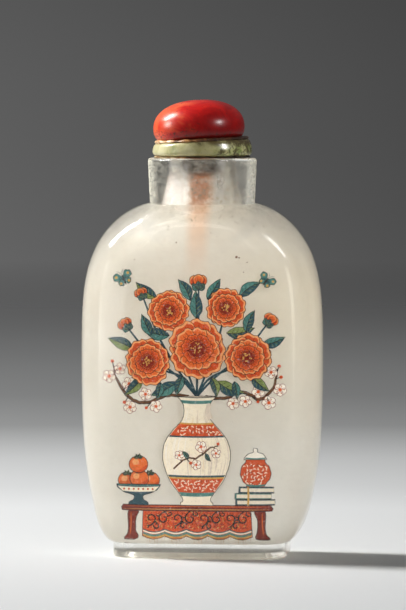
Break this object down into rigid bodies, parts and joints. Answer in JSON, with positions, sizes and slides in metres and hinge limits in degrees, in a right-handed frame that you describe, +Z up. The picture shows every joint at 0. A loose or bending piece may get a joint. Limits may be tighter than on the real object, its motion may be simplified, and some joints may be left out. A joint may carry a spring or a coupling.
{
  "type": "snuff bottle",
  "caption": "Small flattened glass bottle, hollow and painted inside, on a low foot, with a short round neck and a domed stopper that lifts out with its spoon.",
  "frame": {"origin": "on the surface that the bottle stands on, under the middle of the foot", "axes": "+Z up the bottle's axis towards the stopper, X across the bottle's width, -Y out of the painted face"},
  "size_m": [0.0376, 0.0192, 0.0708],
  "materials": {
    "clear_glass": "polished outside, ground inside",
    "red_coral": "polished, slightly worn",
    "pale_green_stone": "polished, mottled",
    "brown_cork": "rough",
    "brown_horn": "smooth"
  },
  "bodies": {
    "root": {"bottle": "clear_glass", "stopper_cap": "red_coral", "stopper_collar": "pale_green_stone", "stopper_cork": "brown_cork", "stopper_spoon": "brown_horn"}
  },
  "joints": []
}
